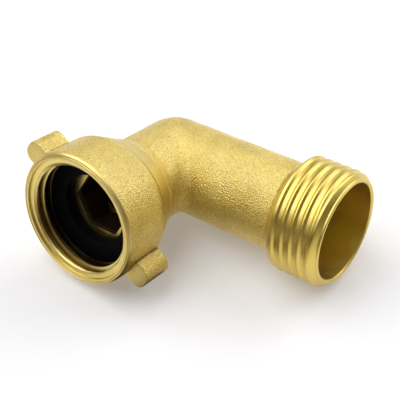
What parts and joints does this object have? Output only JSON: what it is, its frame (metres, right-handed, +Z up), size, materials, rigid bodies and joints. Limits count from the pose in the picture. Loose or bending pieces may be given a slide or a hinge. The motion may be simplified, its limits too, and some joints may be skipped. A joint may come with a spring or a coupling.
{
  "type": "garden hose elbow",
  "caption": "Cast brass right-angle hose fitting with a swivel nut and washer at its inlet and a male hose thread at its outlet.",
  "frame": {"origin": "centre of the inlet thread's outer end, inside the nut's mouth", "axes": "+Z up from the table it lies on, +X towards the outlet, -Y towards the inlet's mouth. Both arms rise a little from the corner, the inlet by 11.06 degrees and the outlet by 4.52 degrees."},
  "size_m": [0.0662, 0.0517, 0.0325],
  "materials": {
    "cast_brass": "grit blasted as cast, turned at the threads, rims and collar",
    "turned_brass": "turned",
    "black_rubber": "matt"
  },
  "bodies": {
    "elbow": {"elbow_body": "cast_brass", "retaining_bush": "turned_brass"},
    "nut": {"swivel_nut": "cast_brass", "rubber_washer": "black_rubber"}
  },
  "joints": [
    {"name": "nut_swivel", "type": "hinge", "parent": "elbow", "child": "nut", "pos_m": [0, 0, 0], "axis": [0, -0.9814, 0.1918], "continuous": true}
  ]
}
